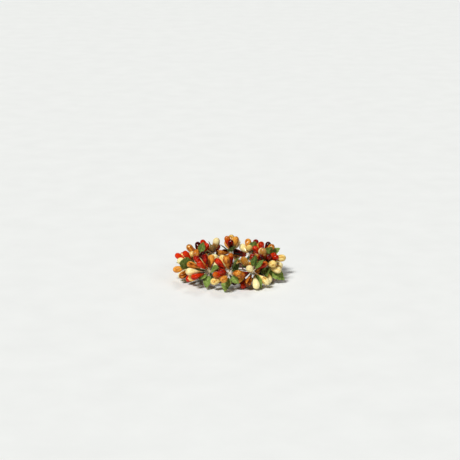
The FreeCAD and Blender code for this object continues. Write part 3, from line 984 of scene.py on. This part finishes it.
def make_threads():
    """The pale thread of each berry and leaf, one piece for each bunch."""
    settings = bpy.context.scene.wreath_binding
    material = waxed_thread(settings)
    rng = random.Random("threads")
    masters = [thread_master(settings, bow) for bow in THREAD_BOWS]
    for bunch in BUNCHES:
        ends = [(pip.tie, pip.neck) for colour in ("red", "orange", "cream")
                for pip in pips_of(bunch + "_" + colour + "_berries")]
        ends += [(leaf.tie, leaf.foot) for leaf in leaves_of(bunch + "_leaves")]
        copies = []
        for tie, end in ends:
            aim = (end - tie).normalized()
            start = tie + aim * TIE_RADIUS * THREAD_START
            turn = Matrix.Rotation(rng.uniform(0, TURN), 4, "Z")
            long = Matrix.Diagonal((1, 1, (end - start).length, 1))
            matrix = standing(start, aim) @ turn @ long
            copies.append(set_copy(rng.choice(masters), matrix))
        node = bunch + "_threads"
        dress(copies, node + "_waxed", material, "thread", node)
    remove_pieces(masters)


def make_ties():
    """The bound thread that gathers each bunch, its windings between two loose ends."""
    settings = bpy.context.scene.wreath_binding
    half = TIE_WINDINGS / 2
    stations = [TIE_FOOT]
    for winding in range(TIE_WINDINGS):
        low = TIE_REACH * (winding / half - 1)
        narrowed = TIE_NARROWS * (winding + 0.5 - half) / half
        bulge = math.sqrt(1 - narrowed ** 2)
        stations += [(low, bulge * TIE_GROOVE), (low + TIE_CREST_STEP, bulge * TIE_CREST)]
    stations.append(TIE_HEAD)
    stations = [(height * TIE_RADIUS, width * TIE_RADIUS) for height, width in stations]
    master = grow(stations, sides=12, twist=0.12, lap=0.06)
    smooth(master, levels=1)
    copies = []
    for rod in stems_of("bunch_stems"):
        aim = (rod.head - rod.foot).normalized()
        copies.append(set_copy(master, standing(nearest_tie(rod.head), aim)))
    dress(copies, "bunch_ties_wound", waxed_thread(settings), "thread", "bunch_ties")
    remove_pieces([master])


def make_stems():
    """The taped stem of each bunch, with the tape's lap winding up it."""
    settings = bpy.context.scene.wreath_binding
    material = tape("stem_tape", settings.stem_deep, settings.stem_bright, scale=1400.0)
    rods = stems_of("bunch_stems")
    foot_radius, head_radius = rods[0].foot_radius, rods[0].head_radius
    stations = []
    for step in range(STEM_STEPS + 1):
        share = step / STEM_STEPS
        radius = foot_radius + (head_radius - foot_radius) * share
        stations.append((share, radius * STEM_SLIMMER))
    master = grow(stations, sides=10, twist=0.62, lap=0.14)
    smooth(master, levels=0)
    copies = []
    for rod in rods:
        aim = rod.head - rod.foot
        long = Matrix.Diagonal((1, 1, aim.length, 1))
        copies.append(set_copy(master, standing(rod.foot, aim.normalized()) @ long))
    dress(copies, "bunch_stems_taped", material, "stem_tape", "bunch_stems")
    remove_pieces([master])


def make_sleeve(ring, material):
    """The tape sleeve round the wire, whose laps lie over one another."""
    settings = bpy.context.scene.wreath_binding
    start_fresh()
    bpy.ops.mesh.primitive_torus_add(
        major_radius=ring.radius, minor_radius=ring.sleeve_radius - settings.lap_height / 2,
        major_segments=settings.laps * LAP_SEGMENTS, minor_segments=14,
        location=(0, 0, ring.height))
    sleeve = bpy.context.object
    bpy.ops.object.transform_apply(location=True, rotation=True, scale=True)

    def on_lap(place):
        round_ring = math.atan2(place.y, place.x) / TURN
        off = math.hypot(place.x, place.y) - ring.radius
        round_tape = math.atan2(place.z - ring.height, off) / TURN
        return (round_ring * settings.laps + round_tape) % 1 < LAP_RAISED

    with editing(sleeve):
        if pick(sleeve, on_lap):
            bpy.ops.transform.shrink_fatten(value=settings.lap_height)
    smooth(sleeve, levels=0)
    dress([sleeve], "tape_sleeve_lapped", material, "floral_tape", "tape_sleeve")


def make_wrap(ring, material):
    """The rolled tape wound round the sleeve in open turns, pressed flat below."""
    settings = bpy.context.scene.wreath_binding
    start_fresh()
    bpy.ops.curve.primitive_bezier_circle_add(radius=ring.wrap_radius * WRAP_SLIMMER)
    profile = bpy.context.object
    for point in tuple(profile.data.splines[0].bezier_points)[1::2]:
        point.co *= WRAP_FLATNESS
    profile.data.resolution_u = 3
    start_fresh()
    bpy.ops.curve.primitive_nurbs_path_add()
    wrap = bpy.context.object
    spline = wrap.data.splines[0]
    spline.points.add(settings.wrap_turns * WRAP_STEPS + 1 - len(spline.points))
    for number, point in enumerate(spline.points):
        turns = number / WRAP_STEPS
        angle = TURN * turns / (settings.wrap_turns + settings.wrap_open)
        phase = TURN * (turns + WRAP_START)
        radius = ring.radius + ring.wrap_line_radius * math.cos(phase)
        height = ring.height + ring.wrap_line_radius * math.sin(phase)
        point.co = (radius * math.sin(angle), -radius * math.cos(angle), height, 1)
        point.tilt = number * WRAP_TWIST
    spline.order_u = 3
    spline.use_endpoint_u = True
    spline.resolution_u = 2
    wrap.data.bevel_mode = "OBJECT"
    wrap.data.bevel_object = profile
    wrap.data.use_fill_caps = True
    take(wrap)
    bpy.ops.object.convert(target="MESH")
    wrap = bpy.context.object
    with editing(wrap):
        weld_all()
        if pick(wrap, lambda place: place.z < ring.seat):
            bpy.ops.transform.resize(value=(1, 1, 0), center_override=(0, 0, ring.seat))
    smooth(wrap, levels=0)
    dress([wrap], "tape_wrap_rolled", material, "floral_tape", "tape_wrap")
    remove_pieces([profile])


def add_sun(name, strength, elevation, azimuth, width):
    """A soft light from far away, from an elevation and an azimuth round the object, in degrees."""
    light = bpy.data.lights.new(name, "SUN")
    light.energy = strength
    light.angle = math.radians(width)
    lamp = bpy.data.objects.new(name, light)
    bpy.context.collection.objects.link(lamp)
    high = math.radians(elevation)
    side = math.radians(azimuth)
    level = math.cos(high)
    from_there = Vector((math.sin(side) * level, -math.cos(side) * level, math.sin(high)))
    lamp.rotation_euler = from_there.to_track_quat("Z", "Y").to_euler()


class WREATH_OT_stage(Operator):
    """Add the floor, the light and the camera"""

    bl_idname = "wreath.stage"
    bl_label = "Stage"

    def execute(self, context):
        settings = context.scene.wreath_stage
        context.scene.view_settings.view_transform = "Standard"
        start_fresh()
        bpy.ops.mesh.primitive_plane_add(size=settings.floor_size)
        floor = context.object
        floor.name = "floor"
        floor.data.materials.append(floor_paper(settings))
        world = bpy.data.worlds.new("air")
        context.scene.world = world
        world.use_nodes = True
        background = world.node_tree.nodes["Background"]
        background.inputs["Color"].default_value = (*settings.air, 1.0)
        background.inputs["Strength"].default_value = settings.ambient
        add_sun("key_light", settings.key, elevation=50, azimuth=-34, width=15)
        add_sun("side_light", settings.side, elevation=36, azimuth=52, width=16)
        add_sun("back_light", settings.back, elevation=55, azimuth=170, width=14)
        camera = bpy.data.objects.new("camera", bpy.data.cameras.new("camera"))
        context.collection.objects.link(camera)
        back = Vector((0, -math.cos(settings.elevation), math.sin(settings.elevation)))
        camera.location = Vector((0, 0, settings.target_height)) + back * settings.distance
        camera.rotation_euler = back.to_track_quat("Z", "Y").to_euler()
        camera.data.lens = settings.lens
        camera.data.sensor_width = 36.0
        context.scene.camera = camera
        return {"FINISHED"}


class WREATH_OT_ring(Operator):
    """Add the taped ring: the sleeve, the rolled wrap and the wire inside"""

    bl_idname = "wreath.ring"
    bl_label = "Taped ring"

    def execute(self, context):
        settings = context.scene.wreath_binding
        ring = read_ring()
        material = tape("floral_tape", settings.tape_deep, settings.tape_bright, scale=1500.0)
        make_sleeve(ring, material)
        make_wrap(ring, material)
        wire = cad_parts["core_wire"]
        wire.data.materials.clear()
        wire.data.materials.append(drawn_wire(settings))
        return {"FINISHED"}


class WREATH_OT_stems(Operator):
    """Add the taped stem of each bunch"""

    bl_idname = "wreath.stems"
    bl_label = "Bunch stems"

    def execute(self, context):
        make_stems()
        return {"FINISHED"}


class WREATH_OT_ties(Operator):
    """Add the bound thread that gathers each bunch"""

    bl_idname = "wreath.ties"
    bl_label = "Ties"

    def execute(self, context):
        make_ties()
        return {"FINISHED"}


class WREATH_OT_threads(Operator):
    """Add the pale thread of each berry and leaf"""

    bl_idname = "wreath.threads"
    bl_label = "Threads"

    def execute(self, context):
        make_threads()
        return {"FINISHED"}


class WREATH_OT_red_pips(Operator):
    """Add the red berries"""

    bl_idname = "wreath.red_pips"
    bl_label = "Red berries"

    def execute(self, context):
        make_pips("red", lacquer(
            "red", end="orange_middle", streak_share=0.5, patch_share=0.35))
        return {"FINISHED"}


class WREATH_OT_orange_pips(Operator):
    """Add the orange berries"""

    bl_idname = "wreath.orange_pips"
    bl_label = "Orange berries"

    def execute(self, context):
        make_pips("orange", lacquer(
            "orange", end="cream_middle", streak_share=0.62, patch_share=0.23))
        return {"FINISHED"}


class WREATH_OT_cream_pips(Operator):
    """Add the cream berries"""

    bl_idname = "wreath.cream_pips"
    bl_label = "Cream berries"

    def execute(self, context):
        make_pips("cream", lacquer(
            "cream", end="cream_bright", streak_share=0.4, patch_share=0.45, cracked=True))
        return {"FINISHED"}


class WREATH_OT_leaves(Operator):
    """Add the cloth leaves"""

    bl_idname = "wreath.leaves"
    bl_label = "Leaves"

    def execute(self, context):
        make_leaves()
        return {"FINISHED"}


PIECES = (WREATH_OT_stage, WREATH_OT_ring, WREATH_OT_stems, WREATH_OT_ties, WREATH_OT_threads,
          WREATH_OT_red_pips, WREATH_OT_orange_pips, WREATH_OT_cream_pips, WREATH_OT_leaves)
SETTINGS = {
    "wreath_pips": PipSettings,
    "wreath_leaves": LeafSettings,
    "wreath_binding": BindingSettings,
    "wreath_stage": StageSettings,
}


class WREATH_PT_panel(Panel):
    """The wreath's pieces and their settings"""

    bl_idname = "WREATH_PT_panel"
    bl_label = "Berry wreath"
    bl_space_type = "VIEW_3D"
    bl_region_type = "UI"
    bl_category = "Wreath"

    def draw(self, context):
        for piece in PIECES:
            self.layout.operator(piece.bl_idname)
        for name, group in SETTINGS.items():
            box = self.layout.box()
            for entry in group.__annotations__:
                box.prop(getattr(context.scene, name), entry)


def register():
    """Register the settings, the operators and the panel."""
    for group in (*SETTINGS.values(), *PIECES, WREATH_PT_panel):
        bpy.utils.register_class(group)
    for name, group in SETTINGS.items():
        setattr(bpy.types.Scene, name, PointerProperty(type=group))


def unregister():
    """Remove all that register added."""
    for name in SETTINGS:
        delattr(bpy.types.Scene, name)
    for group in reversed((*SETTINGS.values(), *PIECES, WREATH_PT_panel)):
        bpy.utils.unregister_class(group)


def main():
    """Model the whole wreath on its stage."""
    register()
    bpy.ops.wreath.stage()
    bpy.ops.wreath.ring()
    bpy.ops.wreath.stems()
    bpy.ops.wreath.ties()
    bpy.ops.wreath.threads()
    bpy.ops.wreath.red_pips()
    bpy.ops.wreath.orange_pips()
    bpy.ops.wreath.cream_pips()
    bpy.ops.wreath.leaves()
    start_fresh()


if __name__ == "__main__":
    main()
